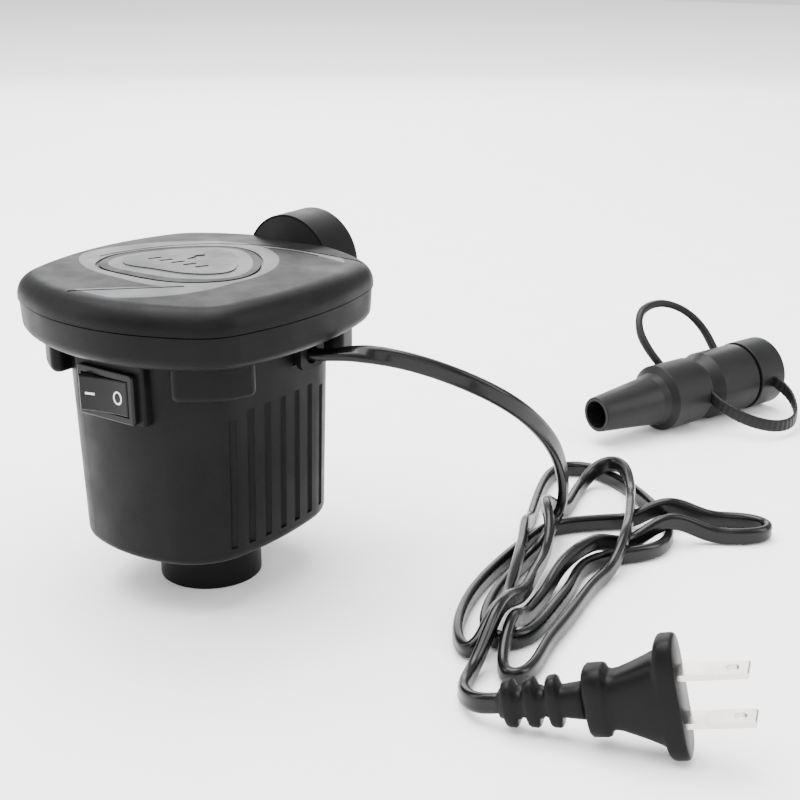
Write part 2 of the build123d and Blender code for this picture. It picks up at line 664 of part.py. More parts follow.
with BuildPart() as rectifier_diodes:
    for z in (49.0, 52.4, 55.8, 45.6):
        with Locations((-5.0, BOARD_Y - 1.9, z)):
            Cylinder(1.35, 5, rotation=(0, 90, 0))
            Cylinder(0.4, 9, rotation=(0, 90, 0))
        with Locations((-9.1, BOARD_Y, z), (-0.9, BOARD_Y, z)):
            Cylinder(0.4, 1.9, rotation=(90, 0, 0), align=(Align.CENTER, Align.CENTER, Align.MIN))
save(rectifier_diodes.part, "rectifier_diodes")

with BuildPart() as filter_capacitor:
    with Locations((6.4, BOARD_Y, 47)):
        Box(6, 7.5, 13, align=(Align.CENTER, Align.MAX, Align.CENTER))
    fillet(filter_capacitor.faces().sort_by(Axis.Y)[0].edges(), 0.8)
save(filter_capacitor.part, "filter_capacitor")

# ---------------------------------------------------------------- rocker switch
SWITCH_FRONT = SWITCH_FACE - 1.6
with BuildPart() as switch_body:
    with Locations((0, SWITCH_FRONT, SWITCH_Z)):
        Box(21.4, 1.6, 14.6, align=(Align.CENTER, Align.MIN, Align.CENTER))
    fillet(switch_body.edges().filter_by(Axis.Y), 1.2)
    fillet(switch_body.faces().sort_by(Axis.Y)[0].edges(), 0.6)
    with Locations((0, SWITCH_FACE, SWITCH_Z)):
        Box(19.2, 10.4, 12.8, align=(Align.CENTER, Align.MIN, Align.CENTER))
    with Locations((0, SWITCH_FRONT, SWITCH_Z)):
        Box(18.0, 8.6, 10.6, align=(Align.CENTER, Align.MIN, Align.CENTER), mode=Mode.SUBTRACT)
    with Locations((0, ROCKER_PIVOT, SWITCH_Z)):
        Cylinder(1.27, 11.9, mode=Mode.SUBTRACT)
save(switch_body.part, "switch_body")

with BuildPart() as switch_rocker:
    with BuildSketch(Plane.XY.offset(SWITCH_Z - 5.1)):
        with BuildLine():
            ThreePointArc((-8.2, ROCKER_PIVOT - 3.9), (0, ROCKER_PIVOT - 3.2), (8.2, ROCKER_PIVOT - 3.9))
            Polyline((8.2, ROCKER_PIVOT - 3.9), (8.2, ROCKER_PIVOT + 0.2), (3.0, ROCKER_PIVOT + 2.6),
                     (-3.0, ROCKER_PIVOT + 2.6), (-8.2, ROCKER_PIVOT + 0.2), (-8.2, ROCKER_PIVOT - 3.9))
        make_face()
    extrude(amount=10.2)
    fillet(switch_rocker.faces().sort_by(Axis.Y)[0].edges(), 0.5)
    with Locations((0, ROCKER_PIVOT, SWITCH_Z)):
        Cylinder(1.2, 11.7)
rocker_off = switch_rocker.part.rotate(Axis((0, ROCKER_PIVOT, SWITCH_Z), (0, 0, 1)), ROCKER_TILT)
save(rocker_off, "switch_rocker")

with BuildPart() as switch_terminals:
    with Locations((-5, SWITCH_FACE + 10.4, SWITCH_Z), (5, SWITCH_FACE + 10.4, SWITCH_Z)):
        Box(4.8, 4.4, 0.8, align=(Align.CENTER, Align.MIN, Align.CENTER))
save(switch_terminals.part, "switch_terminals")

# ---------------------------------------------------------------- power cord
with BuildPart() as cord_grommet:
    with Locations((30.2, CORD_EXIT[1], CORD_EXIT[2])):
        Box(7.2, 8.2, 6.0)
    fillet(cord_grommet.edges().filter_by(Axis.X), 1.6)
    with BuildSketch(Plane(origin=(33.1, CORD_EXIT[1], CORD_EXIT[2]), x_dir=(0, 1, 0), z_dir=(1, 0, 0))):
        RectangleRounded(10.6, 8.2, 2.4)
    extrude(amount=1.6)
    with Locations((30.2, CORD_EXIT[1], CORD_EXIT[2])):
        Cylinder(CORD_R, 16, rotation=(0, 90, 0), mode=Mode.SUBTRACT)
save(cord_grommet.part, "cord_grommet")

with BuildPart() as cord_clamp:
    with Locations((CLAMP_SCREWS[0][0], CORD_EXIT[1], CLAMP_TOP)):
        Box(3.0, 17.0, 2.0, align=(Align.CENTER, Align.CENTER, Align.MAX))
    fillet(cord_clamp.edges().filter_by(Axis.Z), 1.2)
    with Locations(*[(x, y, CLAMP_TOP) for x, y in CLAMP_SCREWS]):
        Cylinder(1.0, 6, mode=Mode.SUBTRACT)
save(cord_clamp.part, "cord_clamp")
save(screw_set([(x, y, CLAMP_TOP - 2.0) for x, y in CLAMP_SCREWS],
               head_r=2.0, head_thick=1.3, shank_r=1.0, length=7.5, up=True), "clamp_screws")

save(cord_tube(CORD_LEAD, CORD_R, "power_cord"), "power_cord")
save(cord_tube(CORD_TAIL, CORD_R, "cord_tail"), "cord_tail")

with BuildPart() as cord_hank:
    with BuildSketch():
        with BuildLine():
            Polyline(*HANK_OUTLINE, close=True)
        make_face()
    extrude(amount=HANK_TOP)
    fillet(cord_hank.edges().filter_by(Axis.Z), 3.0)
save(cord_hank.part, "cord_hank")

# ---------------------------------------------------------------- plug
plug_way = heading(PLUG_YAW, PLUG_PITCH)
plug_side = Vector(-sin(radians(PLUG_YAW)), cos(radians(PLUG_YAW)), 0)


def plug_plane(along):
    """Plane across the plug: its x runs level, its y up the plug's broad sides."""
    return Plane(origin=Vector(*PLUG_START) + plug_way * along, x_dir=plug_side, z_dir=plug_way)


def plug_block(sections, radius):
    """Straight-sided solid through rounded rectangles given as (along, thick, tall)."""
    with BuildPart() as block:
        for along, thick, tall in sections:
            with BuildSketch(plug_plane(along)):
                RectangleRounded(thick, tall, radius)
        loft(ruled=True)
    return block.part


with BuildPart() as strain_relief:
    add(plug_block([(0, 6.6, 7.2), (21.6, 7.0, 9.4)], 2.4))
    for k in range(3):
        add(plug_block([(0.6 + 5.6 * k, 7.5, 12.0 + 0.6 * k), (3.6 + 5.6 * k, 7.5, 12.4 + 0.6 * k)], 2.6))
save(strain_relief.part, "strain_relief")

with BuildPart() as plug_body:
    add(plug_block([(21.6, 11.0, 18.0), (27.0, 11.0, 18.0)], 3.4))
    add(plug_block([(27.0, 10.5, 14.5), (29.5, 10.5, 14.5)], 3.0))
    add(plug_block([(29.5, 10.5, 14.5), (40.0, 13.4, 23.4)], 3.4))
    add(plug_block([(40.0, 13.0, 31.6), (45.0, 13.0, 31.6)], 4.6))
    # grip grooves down both broad sides
    for k in range(6):
        for side in (1, -1):
            with BuildSketch(plug_plane(30.2 + 1.55 * k)):
                with Locations((side * (6.1 + 0.2 * k), 0)):
                    Rectangle(1.6, 9.5 + 0.6 * k)
            extrude(amount=0.7, mode=Mode.SUBTRACT)
    for side in (1, -1):
        with BuildSketch(plug_plane(45.0)):
            with Locations((0, side * BLADE_GAP / 2)):
                Rectangle(BLADE_WIDE, BLADE_THICK)
        extrude(amount=-6.0, mode=Mode.SUBTRACT)
save(plug_body.part, "plug_body")

with BuildPart() as plug_blades:
    for side in (1, -1):
        with BuildSketch(plug_plane(39.0)):
            with Locations((0, side * BLADE_GAP / 2)):
                Rectangle(BLADE_WIDE, BLADE_THICK)
        extrude(amount=6.0 + BLADE_LONG)
    chamfer(plug_blades.faces().filter_by(lambda f: f.area < 12).sort_by(Axis.X)[-2:].edges(), 0.35)
    with BuildSketch(Plane(origin=plug_plane(57.6).origin, x_dir=plug_way, z_dir=plug_plane(57.6).y_dir)):
        Circle(1.6)
    extrude(amount=12, both=True, mode=Mode.SUBTRACT)
save(plug_blades.part, "plug_blades")

# ---------------------------------------------------------------- nozzle adapters
adapter_way = heading(ADAPTER_YAW, ADAPTER_RISE)
adapter_left = Vector(-sin(radians(ADAPTER_YAW)), cos(radians(ADAPTER_YAW)), 0)
adapter_up = adapter_way.cross(adapter_left)
adapter_section = Plane(origin=ADAPTER_TIP, x_dir=adapter_way, z_dir=adapter_left)


def adapter(profile, softened):
    """Turned nozzle from (distance from the chain's tip, radius) points."""
    with BuildPart() as nozzle:
        with BuildSketch(adapter_section):
            with BuildLine():
                Polyline(*profile, close=True)
            make_face()
        revolve(axis=Axis(ADAPTER_TIP, adapter_way))
        rims = nozzle.edges().filter_by(GeomType.CIRCLE)
        fillet([rim for rim in rims if round(rim.radius, 2) in softened], 0.4)
    return nozzle.part


save(adapter([(0, 5.3), (0, 6.7), (27, 9.6), (30, 10.4), (32, 12.9), (49, 12.9), (49, 11.2), (31, 11.2),
              (29, 8.4)], (6.7, 12.9)), "adapter_small")
save(adapter([(34, 9.5), (34, 10.9), (49, 10.9), (52, 11.1), (57, 13.4), (76.5, 13.4), (76.5, 12.2),
              (58, 12.2), (56, 9.5)], (13.4,)), "adapter_medium")
save(adapter([(61, 10.4), (61, 11.9), (77.5, 11.9), (77.5, 13.8), (91, 13.8), (91, 12.4), (84, 10.4)],
             (13.8,)), "adapter_large")


def beside_adapters(along, left, up):
    """Point by the adapters: distance from the tip, out to the left, and above the axis."""
    return Vector(*ADAPTER_TIP) + adapter_way * along + adapter_left * left + adapter_up * up


def tether(points, wide, thick):
    """Strap swept along a loose loop."""
    with BuildPart() as strap:
        with BuildLine() as route:
            Spline(*[beside_adapters(*point) for point in points])
        start = route.wire() % 0
        with BuildSketch(Plane(origin=route.wire() @ 0, x_dir=adapter_up, z_dir=start)):
            RectangleRounded(wide, thick, 0.45 * thick)
        sweep(path=route.wire())
    return strap.part


# one loop leans up and over to the left, the other droops to the floor on the right
lean_left, lean_up = cos(radians(TETHER_LEAN)), sin(radians(TETHER_LEAN))
save(tether([(s, reach * lean_left, reach * lean_up) for s, reach in
             [(41, 12.6), (38.5, 20), (38.5, 28), (43, 35), (50, 37.5), (58, 36.5), (66, 31), (71, 23),
              (72, 13.75)]], 2.9, 2.9), "tether_small")
save(tether([(50.5, -11.0, 0), (49.5, -18, -2), (53, -27, -5.5), (61, -33, -8), (71, -34, -9), (80, -29, -8),
             (85.5, -21, -4), (85, -15.4, 0)], 5.0, 1.6), "tether_medium")

# ---------------------------------------------------------------- wires inside the housing


def wire(points, radius):
    """Thin lead through a few points."""
    with BuildPart() as lead:
        with BuildLine() as route:
            Spline(*points)
        with BuildSketch(Plane(origin=points[0], z_dir=route.wire() % 0)):
            Circle(radius)
        sweep(path=route.wire())
    return lead.part


with BuildPart() as switch_leads:
    add(wire([(21.8, 9.0, 73.9), (17.0, 4.0, 74.8), (11.0, -8.0, 74.8), (6.0, -19.0, 74.0),
              (5.0, -24.8, 68.6)], 0.8))
    add(wire([(-5.0, -24.8, 68.6), (-6.0, -19.0, 74.0), (-12.0, -8.0, 74.6), (-15.0, 6.0, 74.6),
              (-11.0, 20.0, 74.0), (-8.0, 27.6, 67.0), (-8.0, 29.3, 58.0)], 0.8))
save(switch_leads.part, "switch_leads")
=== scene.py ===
import json
import math

import bmesh
import bpy
import numpy as np
from mathutils import Matrix, Vector


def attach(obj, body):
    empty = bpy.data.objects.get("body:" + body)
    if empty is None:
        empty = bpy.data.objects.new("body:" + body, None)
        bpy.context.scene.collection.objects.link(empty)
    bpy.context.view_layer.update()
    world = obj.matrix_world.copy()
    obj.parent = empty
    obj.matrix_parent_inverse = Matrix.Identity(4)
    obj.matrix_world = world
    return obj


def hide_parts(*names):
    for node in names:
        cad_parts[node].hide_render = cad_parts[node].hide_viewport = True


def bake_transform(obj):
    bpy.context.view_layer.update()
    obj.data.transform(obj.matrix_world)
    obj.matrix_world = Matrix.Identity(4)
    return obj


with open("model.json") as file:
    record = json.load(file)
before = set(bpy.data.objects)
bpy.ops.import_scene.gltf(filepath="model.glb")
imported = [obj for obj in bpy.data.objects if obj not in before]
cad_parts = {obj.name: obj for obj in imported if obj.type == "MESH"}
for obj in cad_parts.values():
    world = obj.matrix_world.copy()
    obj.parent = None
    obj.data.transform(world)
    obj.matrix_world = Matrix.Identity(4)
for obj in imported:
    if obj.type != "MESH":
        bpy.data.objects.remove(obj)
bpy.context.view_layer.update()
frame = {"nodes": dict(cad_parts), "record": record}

MM = 0.001


# ------------------------------------------------------------------ camera, floor and light
camera_data = bpy.data.cameras.new("camera")
camera_data.lens = 63
camera_data.sensor_width = 36
camera_data.clip_start = 0.01
camera = bpy.data.objects.new("camera", camera_data)
camera.location = (0.2750, -0.2905, 0.1911)
camera.rotation_euler = (math.radians(71), 0, math.radians(35))
bpy.context.collection.objects.link(camera)
bpy.context.scene.camera = camera


def area_light(name, at, aim, size, power):
    """Soft rectangular studio light, in metres and watts."""
    data = bpy.data.lights.new(name, "AREA")
    data.shape = "RECTANGLE"
    data.size, data.size_y = size
    data.energy = power
    light = bpy.data.objects.new(name, data)
    light.location = at
    light.rotation_euler = (Vector(aim) - Vector(at)).to_track_quat("-Z", "Y").to_euler()
    bpy.context.collection.objects.link(light)
    return light


lights = [
    area_light("top_light", (-0.1, -0.1, 0.95), (0.03, 0.05, 0.0), (0.9, 0.9), 24.0),
    area_light("left_light", (-0.75, -0.55, 0.45), (0.0, 0.0, 0.07), (0.5, 0.8), 5.0),
    area_light("right_light", (0.85, 0.35, 0.5), (0.05, 0.05, 0.06), (0.35, 0.8), 7.0),
    area_light("front_light", (0.55, -0.75, 0.4), (0.05, 0.05, 0.05), (0.6, 0.6), 2.5),
    area_light("back_light", (-0.75, 1.05, 0.55), (0.03, 0.05, 0.08), (1.2, 0.5), 9.0),
    area_light("backdrop_light", (-0.6, 0.6, 1.6), (-1.0, 1.6, 0.0), (1.4, 1.4), 60.0),
]

world = bpy.data.worlds.new("studio")
world.use_nodes = True
world.node_tree.nodes["Background"].inputs["Color"].default_value = (1, 1, 1, 1)
world.node_tree.nodes["Background"].inputs["Strength"].default_value = 1.08
bpy.context.scene.world = world


# ------------------------------------------------------------------ materials
def node_material(name):
    """New node material and its tree, shader and a shared coordinate node."""
    material = bpy.data.materials.new(name)
    material.use_nodes = True
    tree = material.node_tree
    shader = tree.nodes["Principled BSDF"]
    where = tree.nodes.new("ShaderNodeTexCoord")
    return material, tree, shader, where


def noise(tree, where, scale, detail=4.0, stretch=None):
    """Noise texture in object coordinates, optionally stretched along the axes."""
    texture = tree.nodes.new("ShaderNodeTexNoise")
    texture.inputs["Scale"].default_value = scale
    texture.inputs["Detail"].default_value = detail
    if stretch:
        mapping = tree.nodes.new("ShaderNodeMapping")
        mapping.inputs["Scale"].default_value = stretch
        tree.links.new(where.outputs["Object"], mapping.inputs["Vector"])
        tree.links.new(mapping.outputs["Vector"], texture.inputs["Vector"])
    else:
        tree.links.new(where.outputs["Object"], texture.inputs["Vector"])
    return texture


def ranged(tree, source, low, high, start=0.3, end=0.7):
    """Maps a 0..1 value between two limits."""
    node = tree.nodes.new("ShaderNodeMapRange")
    node.inputs["From Min"].default_value = start
    node.inputs["From Max"].default_value = end
    node.inputs["To Min"].default_value = low
    node.inputs["To Max"].default_value = high
    tree.links.new(source, node.inputs["Value"])
    return node


def finish_of(name, color, rough, grain=2600.0, bump=0.10, spread=0.08, metal=0.0, wear=0.25,
              coat=0.0, stretch=None, specular=0.15):
    """Moulded or plated surface: colour mottling, uneven gloss and a fine grain."""
    material, tree, shader, where = node_material(name)
    shader.inputs["Metallic"].default_value = metal
    shader.inputs["Specular IOR Level"].default_value = specular
    shader.inputs["Coat Weight"].default_value = coat
    shader.inputs["Coat Roughness"].default_value = 0.12
    cloud = noise(tree, where, 38.0, 5.0)
    mix = tree.nodes.new("ShaderNodeMix")
    mix.data_type = "RGBA"
    mix.inputs["A"].default_value = (*[c * (1 - 0.5 * wear) for c in color], 1)
    mix.inputs["B"].default_value = (*[min(1, c * (1 + wear) + 0.002 * wear) for c in color], 1)
    tree.links.new(ranged(tree, cloud.outputs["Fac"], 0, 1).outputs["Result"], mix.inputs["Factor"])
    tree.links.new(mix.outputs["Result"], shader.inputs["Base Color"])
    smudge = noise(tree, where, 95.0, 6.0, stretch)
    gloss = ranged(tree, smudge.outputs["Fac"], rough - spread, rough + spread)
    tree.links.new(gloss.outputs["Result"], shader.inputs["Roughness"])
    fine = noise(tree, where, grain, 2.0, stretch)
    relief = tree.nodes.new("ShaderNodeBump")
    relief.inputs["Strength"].default_value = bump
    relief.inputs["Distance"].default_value = 0.0002
    tree.links.new(fine.outputs["Fac"], relief.inputs["Height"])
    tree.links.new(relief.outputs["Normal"], shader.inputs["Normal"])
    return material


BLACK = (0.0035, 0.0035, 0.0038)
FINISHES = {
    "black_shell": finish_of("black_shell", BLACK, 0.44, bump=0.22, specular=0.08),
    "trim_grey": finish_of("trim_grey", (0.05, 0.051, 0.054), 0.40, bump=0.06),
    "emblem_grey": finish_of("emblem_grey", (0.028, 0.028, 0.03), 0.38, bump=0.06),
    "switch_black": finish_of("switch_black", (0.005, 0.005, 0.0055), 0.24, bump=0.05, spread=0.05),
    "inner_plastic": finish_of("inner_plastic", (0.02, 0.02, 0.022), 0.5),
    "impeller_plastic": finish_of("impeller_plastic", (0.72, 0.72, 0.68), 0.4, wear=0.05),
    "cord_vinyl": finish_of("cord_vinyl", (0.003, 0.003, 0.0033), 0.27, grain=900.0, bump=0.05, coat=0.15),
    "plug_vinyl": finish_of("plug_vinyl", (0.0032, 0.0032, 0.0036), 0.38, grain=2000.0, bump=0.12,
                            specular=0.09),
    "blade_metal": finish_of("blade_metal", (0.66, 0.64, 0.60), 0.24, metal=1.0, bump=0.05, wear=0.1,
                             stretch=(1, 1, 8)),
    "nozzle_plastic": finish_of("nozzle_plastic", (0.005, 0.005, 0.0054), 0.42, bump=0.2),
    "tether_rubber": finish_of("tether_rubber", (0.006, 0.006, 0.0065), 0.42, bump=0.08),
    "steel": finish_of("steel", (0.5, 0.5, 0.51), 0.32, metal=1.0, wear=0.15),
    "bronze": finish_of("bronze", (0.55, 0.36, 0.16), 0.4, metal=1.0, wear=0.2),
    "copper_wire": finish_of("copper_wire", (0.62, 0.26, 0.12), 0.33, metal=1.0, grain=900, bump=0.6),
    "magnet": finish_of("magnet", (0.05, 0.05, 0.055), 0.6),
    "carbon": finish_of("carbon", (0.02, 0.02, 0.02), 0.5),
    "board": finish_of("board", (0.30, 0.17, 0.06), 0.45, wear=0.1),
    "board_parts": finish_of("board_parts", (0.42, 0.28, 0.04), 0.3),
    "wire_pvc": finish_of("wire_pvc", (0.4, 0.03, 0.02), 0.35),
}
MARK_WHITE = finish_of("mark_white", (0.8, 0.8, 0.78), 0.5, wear=0.05, bump=0.03)

for part in frame["record"]["subparts"]:
    node = frame["nodes"][part["node"]]
    material = FINISHES[part["material_slot"]]
    if not node.material_slots:
        node.data.materials.append(material)
    for place in node.material_slots:
        place.material = material


# ------------------------------------------------------------------ mesh helpers
def mesh_object(name, points, faces, material, smooth=True):
    """Mesh object in the row frame, from metres."""
    data = bpy.data.meshes.new(name)
    data.from_pydata([tuple(p) for p in points], [], faces)
    data.update()
    fixer = bmesh.new()
    fixer.from_mesh(data)
    bmesh.ops.recalc_face_normals(fixer, faces=fixer.faces)
    fixer.to_mesh(data)
    fixer.free()
    data.polygons.foreach_set("use_smooth", [smooth] * len(data.polygons))
    data.materials.append(material)
    made = bpy.data.objects.new(name, data)
    bpy.context.collection.objects.link(made)
    return made


def skin(name, rings, material, closed=False, smooth=True):
    """Surface through equal rings of points, capped at the ends unless the run is closed."""
    rings = np.asarray(rings, float)
    count, around = rings.shape[:2]
    points = rings.reshape(-1, 3)
    faces = []
    for i in range(count if closed else count - 1):
        j = (i + 1) % count
        for k in range(around):
            m = (k + 1) % around
            faces.append((i * around + k, i * around + m, j * around + m, j * around + k))
    if not closed:
        faces.append(tuple(range(around))[::-1])
        faces.append(tuple((count - 1) * around + k for k in range(around)))
    return mesh_object(name, points, faces, material, smooth)


def unit(v):
    """The vector at unit length."""
    v = np.asarray(v, float)
    return v / (np.linalg.norm(v, axis=-1, keepdims=True) + 1e-12)


# ------------------------------------------------------------------ the cord's route
# centre line in millimetres, from the housing wall to the plug
LEAD_RUN = [(30.5, 9, 73), (38, 9.6, 73), (46, 17.5, 73.4), (58, 25, 71), (70, 33, 66), (79, 44, 58),
            (82, 57, 47.5), (82, 69, 36), (80, 78, 25), (78.5, 82.5, 15.5), (78, 82, 9.5), (77, 77, 4.2)]
HANK_RUN = [
    (77.6, 72, 2.9), (79.3, 60, 2.7), (83, 43, 2.7), (87, 27, 2.7), (91, 14, 2.7), (96, 5.5, 2.7),
    (102, 4, 2.7), (106, 12, 2.7), (105, 25, 2.7), (103, 38, 2.7), (98.5, 50, 2.7), (96.5, 62, 2.7),
    (99.5, 71, 2.7), (105, 77, 2.7), (110, 82, 2.7), (112, 89, 2.7), (109, 98, 2.7), (103, 107, 2.7),
    (94, 116, 2.7), (85, 123, 2.7), (76, 128, 2.7), (66, 133, 2.7), (57, 133, 3.5),
    (52, 128, 5.5), (53, 119, 7.5), (56.5, 107, 9), (62, 93, 9), (69, 77, 9), (76, 62, 9), (82, 49, 9),
    (87, 36, 9), (92.5, 21, 9), (98, 7, 9), (100.5, -2, 7.5), (97, -6, 5), (90, 1, 3.5), (83.5, 13, 3),
    (78.5, 28, 3), (75.5, 48, 3), (75.5, 66, 3), (79, 82, 3.5), (86, 94, 5), (95, 102, 8),
    (107, 111, 7), (121, 121, 3.5), (130, 124.5, 3), (136, 120.5, 3), (134.5, 114.5, 3.2), (127, 108.5, 3.5),
    (116, 103, 6), (107, 94, 9), (101.5, 81, 9.5), (98, 67, 9.5), (96, 52, 9.5), (97.5, 34, 9.5),
    (100.5, 18, 9.5), (103, 6, 9), (107, -3.5, 7.5), (111.5, -10.5, 5),
    (116.5, -10, 3), (116, -1, 3), (112, 12, 3), (110, 26, 3), (107, 41, 3), (105.5, 55, 3), (106, 66, 5),
    (103, 78, 9), (98, 92, 12), (93, 104, 12), (86, 117, 11), (79, 128, 9), (72, 133, 8),
    (66.5, 129, 7), (66, 119, 8), (69.5, 105, 9), (75, 89, 11), (81.5, 71, 13), (87, 55, 15), (92.5, 39, 15),
    (97, 24, 14), (100, 9, 12), (102, -4, 8), (103.2, -11, 4.5),
]
TAIL_RUN = [(104.6, -17.5, 3.2), (108, -24.5, 3.6), (114.7, -28.6, 5.16), (121.2, -26.6, 6.7)]
CORD_WIDE, CORD_THICK = 5.4, 3.2
CORD_STEP = 3.0
# samples that stay put at each end, and over how many more the hold fades out
HELD_AT_EXIT, HELD_AT_PLUG, HOLD_FADE = 44, 6, 4
# how the strands settle, per round: shares of a step, and millimetres
SAME_STRAND = 13
PUSH, PUSH_UPWARD, PUSH_SPREAD, PUSH_KEPT, PUSH_MOST = 0.3, 1.6, 8, 1.6, 1.0
STIFFNESS, HOMEWARD, SINKING = 0.45, 0.02, 0.03


def rounded_off(points, passes=3):
    """The run with its corners cut, again and again, so that it passes near the given points."""
    points = np.asarray(points, float)
    for _ in range(passes):
        cut = np.empty((2 * len(points) - 2, 3))
        cut[0::2] = 0.75 * points[:-1] + 0.25 * points[1:]
        cut[1::2] = 0.25 * points[:-1] + 0.75 * points[1:]
        points = np.vstack([points[:1], cut, points[-1:]])
    return points


def evenly(points, step):
    """The same run at even steps."""
    points = np.asarray(points, float)
    along = np.concatenate([[0], np.cumsum(np.linalg.norm(np.diff(points, axis=0), axis=1))])
    marks = np.linspace(0, along[-1], int(round(along[-1] / step)) + 1)
    return np.stack([np.interp(marks, along, points[:, k]) for k in range(3)], axis=1)


def softened(rows, passes):
    """Spreads what each point gets over its neighbours."""
    for _ in range(passes):
        rows[1:-1] = 0.25 * rows[:-2] + 0.5 * rows[1:-1] + 0.25 * rows[2:]
    return rows


def settled(points, apart, lowest, rounds):
    """Evens out the run and pushes strands that come too near each other apart, round by round."""
    run = evenly(rounded_off(points), CORD_STEP)
    home = run.copy()
    index = np.arange(len(run))
    later = (index[None, :] - index[:, None]) * CORD_STEP > SAME_STRAND
    past_exit = np.clip((index - HELD_AT_EXIT) / HOLD_FADE, 0, 1)
    before_plug = np.clip((len(run) - HELD_AT_PLUG - index) / HOLD_FADE, 0, 1)
    loose = past_exit * before_plug
    for _ in range(rounds):
        gap = run[None] - run[:, None]
        distance = np.linalg.norm(gap, axis=2) + 1e-9
        first, second = np.where(later & (distance < apart))
        push = np.zeros_like(run)
        if len(first):
            way = gap[first, second] * (1, 1, PUSH_UPWARD)
            way = unit(way) * (PUSH * (apart - distance[first, second]))[:, None]
            np.add.at(push, first, -way)
            np.add.at(push, second, way)
        push = softened(np.clip(push, -PUSH_MOST, PUSH_MOST), PUSH_SPREAD) * PUSH_KEPT
        bend = np.zeros_like(run)
        bend[1:-1] = 0.5 * (run[:-2] + run[2:]) - run[1:-1]
        stiff = np.zeros_like(run)
        stiff[1:-1] = 0.5 * (bend[:-2] + bend[2:]) - bend[1:-1]
        step = push - STIFFNESS * stiff + (home - run) * (HOMEWARD, HOMEWARD, 0) - (0, 0, SINKING)
        run = run + step * loose[:, None]
        run[:, 2] = np.maximum(run[:, 2], lowest)
    return run


cord_points = settled(LEAD_RUN + HANK_RUN + TAIL_RUN, apart=5.75, lowest=2.78, rounds=320)

curve = bpy.data.curves.new("cord_line", "CURVE")
curve.dimensions = "3D"
curve.resolution_u = 3
spline = curve.splines.new("NURBS")
spline.points.add(len(cord_points) - 1)
for place, point in zip(spline.points, cord_points * MM):
    place.co = (*point, 1)
spline.order_u = 3
spline.use_endpoint_u = True
line_object = bpy.data.objects.new("cord_line", curve)
bpy.context.collection.objects.link(line_object)
bpy.context.view_layer.update()
line_mesh = line_object.to_mesh()
cord_line = np.array([vertex.co[:] for vertex in line_mesh.vertices])
line_object.to_mesh_clear()
bpy.data.objects.remove(line_object)


def along_of(points):
    """Distance run at every point."""
    return np.concatenate([[0], np.cumsum(np.linalg.norm(np.diff(points, axis=0), axis=1))])


def tangents_of(points):
    """Unit direction at every point of a run."""
    way = np.gradient(points, axis=0)
    return unit(way)


# metres of run: where the flat cord starts to turn on edge, over how far, and where it may roll freely
TURN_START, TURN_OVER, TURN_FIRM = 0.008, 0.022, 0.035
STEEP, ROLL = 0.98, 0.25


def wide_directions(points):
    """Which way the flat cord's width points: level at the wall, then on edge."""
    way = tangents_of(points)
    run = along_of(points)
    up = np.array([0, 0, 1.0])
    wide = np.zeros_like(points)
    previous = None
    for i, t in enumerate(way):
        level = unit(np.cross(up, t)) if abs(t[2]) < STEEP else previous
        edge = up - t * t[2]
        steep = np.linalg.norm(edge)
        if previous is None:
            wanted = level
        else:
            turn = min(1.0, max(0.0, (run[i] - TURN_START) / TURN_OVER))
            turn = turn * turn * (3 - 2 * turn)
            aim = math.cos(turn * math.pi / 2) * level + math.sin(turn * math.pi / 2) * unit(edge)
            if np.dot(aim, previous) < 0:
                aim = -aim
            carried = previous - t * np.dot(previous, t)
            weight = 1.0 if run[i] < TURN_FIRM else min(1.0, steep ** 2) * ROLL
            wanted = unit((1 - weight) * unit(carried) + weight * aim)
        previous = unit(wanted - t * np.dot(wanted, t))
        wide[i] = previous
    return wide


CORE_ROUNDNESS, GROOVE_DEEP, GROOVE_REACH = 0.75, 0.20, 0.11


def twin_profile(wide, thick, count=20):
    """Section of a flat twin lead: two round cores with a shallow groove between."""
    section = []
    for k in range(count):
        angle = 2 * math.pi * k / count
        x = 0.5 * wide * math.copysign(abs(math.cos(angle)) ** CORE_ROUNDNESS, math.cos(angle))
        y = 0.5 * thick * math.copysign(abs(math.sin(angle)) ** CORE_ROUNDNESS, math.sin(angle))
        y *= 1 - GROOVE_DEEP * math.exp(-((x / (GROOVE_REACH * wide)) ** 2))
        section.append((x, y))
    return section


def cord_rings(points, section):
    """Rings of the flat cord along its run."""
    way = tangents_of(points)
    wide = wide_directions(points)
    thin = np.cross(way, wide)
    return [[p + x * MM * w + y * MM * n for x, y in section] for p, w, n in zip(points, wide, thin)]


cord = skin("power_cord_lead", cord_rings(cord_line, twin_profile(CORD_WIDE, CORD_THICK)),
            FINISHES["cord_vinyl"])
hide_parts("power_cord", "cord_hank", "cord_tail")
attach(cord, "housing")

# ------------------------------------------------------------------ plug
PLUG_START = np.array((121.2, -26.6, 6.7))
PLUG_YAW, PLUG_PITCH = math.radians(17.2), math.radians(12.7)
plug_way = np.array((math.cos(PLUG_PITCH) * math.cos(PLUG_YAW), math.cos(PLUG_PITCH) * math.sin(PLUG_YAW),
                     math.sin(PLUG_PITCH)))
plug_side = np.array((-math.sin(PLUG_YAW), math.cos(PLUG_YAW), 0))
plug_up = np.cross(plug_way, plug_side)


def plug_ring(along, thick, tall, square=3.2, count=48):
    """Rounded section across the plug, in metres."""
    ring = []
    for k in range(count):
        angle = 2 * math.pi * (k + 0.5) / count
        c, s = math.cos(angle), math.sin(angle)
        x = 0.5 * thick * math.copysign(abs(c) ** (2 / square), c)
        y = 0.5 * tall * math.copysign(abs(s) ** (2 / square), s)
        ring.append((PLUG_START + plug_way * along + plug_side * x + plug_up * y) * MM)
    return ring


